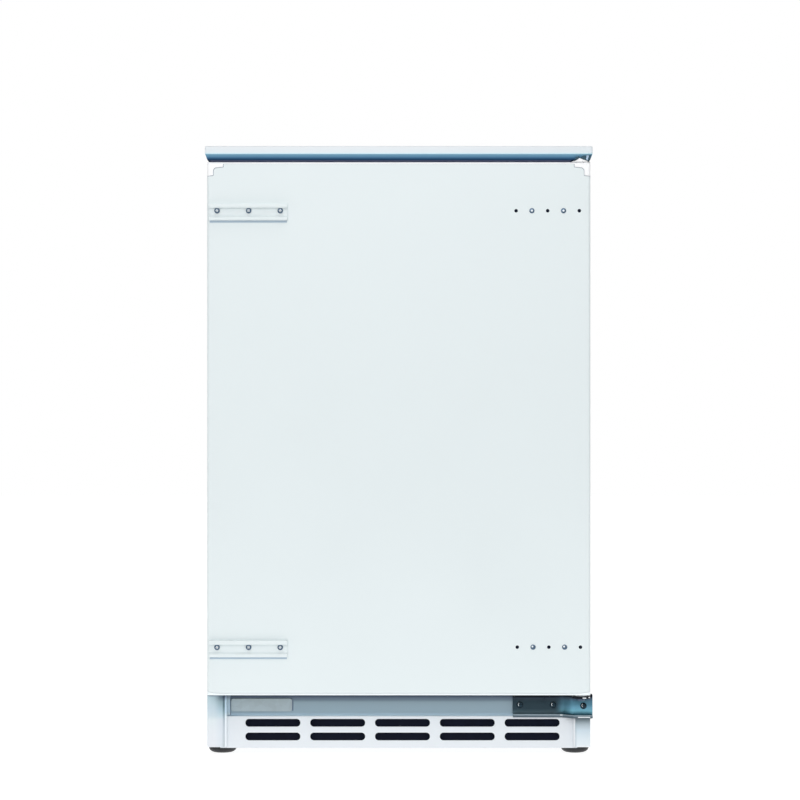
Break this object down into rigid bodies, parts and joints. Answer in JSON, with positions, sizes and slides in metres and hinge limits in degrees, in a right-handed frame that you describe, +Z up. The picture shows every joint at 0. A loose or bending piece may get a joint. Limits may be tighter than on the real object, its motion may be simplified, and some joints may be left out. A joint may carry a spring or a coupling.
{
  "type": "undercounter refrigerator",
  "caption": "Built-in undercounter refrigerator: white cabinet and lid, right-hinged door with slide rails for a furniture panel, slotted plinth grille, ice box and rear compressor.",
  "frame": {"origin": "centre of the footprint, on the floor", "axes": "+X to the right of a person facing the door, -Y out through the door, +Z up"},
  "size_m": [0.543, 0.5, 0.8537],
  "materials": {
    "coated_steel": "white powder-coated sheet steel, satin",
    "white_plastic": "white moulded plastic, satin",
    "liner_plastic": "white vacuum-formed polystyrene, soft sheen",
    "galvanised_steel": "galvanised sheet steel with a faint spangle",
    "zinc_plate": "zinc-plated steel, dull blue-grey",
    "screw_steel": "bright plated screw steel",
    "insulation_foam": "rigid polyurethane foam, cellular, cut surface",
    "gasket_rubber": "soft white-grey magnetic gasket vinyl",
    "black_plastic": "black glass-filled plastic, matt",
    "black_paint": "black stove enamel on steel",
    "aluminium_sheet": "roll-bond aluminium sheet, satin",
    "copper_pipe": "drawn copper pipe",
    "clear_plastic": "clear polystyrene, glossy",
    "shelf_glass": "toughened clear shelf glass",
    "lamp_glass": "frosted lamp glass"
  },
  "bodies": {
    "cabinet": {"lid": "white_plastic", "side_panel_left": "coated_steel", "side_panel_right": "coated_steel", "back_panel": "galvanised_steel", "step_panel": "galvanised_steel", "inner_liner": "liner_plastic", "foam_insulation": "insulation_foam", "crossrail": "galvanised_steel", "kick_plate": "white_plastic", "base_tray": "galvanised_steel", "compressor": "black_paint", "relay_box": "black_plastic", "drip_tray": "black_plastic", "filter_drier": "copper_pipe", "condenser": "black_paint", "suction_pipe": "copper_pipe", "discharge_pipe": "copper_pipe", "cord_gland": "black_plastic", "evaporator": "aluminium_sheet", "ice_box_frame": "white_plastic", "thermostat_housing": "white_plastic", "lamp_cover": "clear_plastic", "lamp_bulb": "lamp_glass", "crisper_glass_cover": "shelf_glass", "lower_glass_shelf": "shelf_glass", "upper_glass_shelf": "shelf_glass", "lower_hinge_bracket": "zinc_plate", "upper_hinge_bracket": "zinc_plate", "lower_hinge_pin": "screw_steel", "upper_hinge_pin": "screw_steel", "upper_hinge_cover": "white_plastic", "hinge_blanking_plate": "galvanised_steel"},
    "door": {"door_skin": "coated_steel", "door_foam": "insulation_foam", "door_liner": "liner_plastic", "door_top_cap": "white_plastic", "door_bottom_cap": "white_plastic", "door_gasket": "gasket_rubber", "middle_rack": "clear_plastic", "upper_rack": "clear_plastic", "bottle_rack": "clear_plastic", "hinge_bush_lower": "white_plastic", "hinge_bush_upper": "white_plastic", "slide_rail_lower": "white_plastic", "slide_rail_upper": "white_plastic", "rail_screw_lower_1": "screw_steel", "rail_screw_lower_2": "screw_steel", "rail_screw_lower_3": "screw_steel", "rail_screw_upper_1": "screw_steel", "rail_screw_upper_2": "screw_steel", "rail_screw_upper_3": "screw_steel"},
    "retainer": {"bottle_retainer": "white_plastic"},
    "crisper": {"crisper_drawer": "clear_plastic"},
    "ice_flap": {"ice_box_flap": "clear_plastic"},
    "knob": {"thermostat_knob": "white_plastic"},
    "switch": {"lamp_switch_plunger": "white_plastic"},
    "foot_front_left": {"leveling_foot_front_left": "black_plastic"},
    "foot_front_right": {"leveling_foot_front_right": "black_plastic"},
    "foot_rear_left": {"leveling_foot_rear_left": "black_plastic"},
    "foot_rear_right": {"leveling_foot_rear_right": "black_plastic"}
  },
  "joints": [
    {"name": "door_swing", "type": "hinge", "parent": "cabinet", "child": "door", "pos_m": [0.255, -0.222, 0.4537], "axis": [0, 0, 1], "range_deg": [0, 110]},
    {"name": "lamp_switch_travel", "type": "slide", "parent": "cabinet", "child": "switch", "axis": [0, -1, 0], "range_m": [0, 0.005]},
    {"name": "ice_box_flap_hinge", "type": "hinge", "parent": "cabinet", "child": "ice_flap", "pos_m": [0, -0.05, 0.7687], "axis": [-1, 0, 0], "range_deg": [0, 90]},
    {"name": "thermostat_turn", "type": "hinge", "parent": "cabinet", "child": "knob", "pos_m": [0.176, -0.028, 0.6227], "axis": [-1, 0, 0], "range_deg": [-135, 135]},
    {"name": "crisper_slide", "type": "slide", "parent": "cabinet", "child": "crisper", "axis": [0, -1, 0], "range_m": [0, 0.018]},
    {"name": "bottle_retainer_slide", "type": "slide", "parent": "door", "child": "retainer", "axis": [1, 0, 0], "range_m": [-0.12, 0.12]},
    {"name": "foot_front_left_height", "type": "slide", "parent": "cabinet", "child": "foot_front_left", "axis": [0, 0, -1], "range_m": [0, 0.012]},
    {"name": "foot_front_right_height", "type": "slide", "parent": "cabinet", "child": "foot_front_right", "axis": [0, 0, -1], "range_m": [0, 0.012]},
    {"name": "foot_rear_left_height", "type": "slide", "parent": "cabinet", "child": "foot_rear_left", "axis": [0, 0, -1], "range_m": [0, 0.012]},
    {"name": "foot_rear_right_height", "type": "slide", "parent": "cabinet", "child": "foot_rear_right", "axis": [0, 0, -1], "range_m": [0, 0.012]}
  ],
  "couplings": [
    {"joint": "lamp_switch_travel", "follows": "door_swing", "m_per_rad": 0.0026}
  ]
}
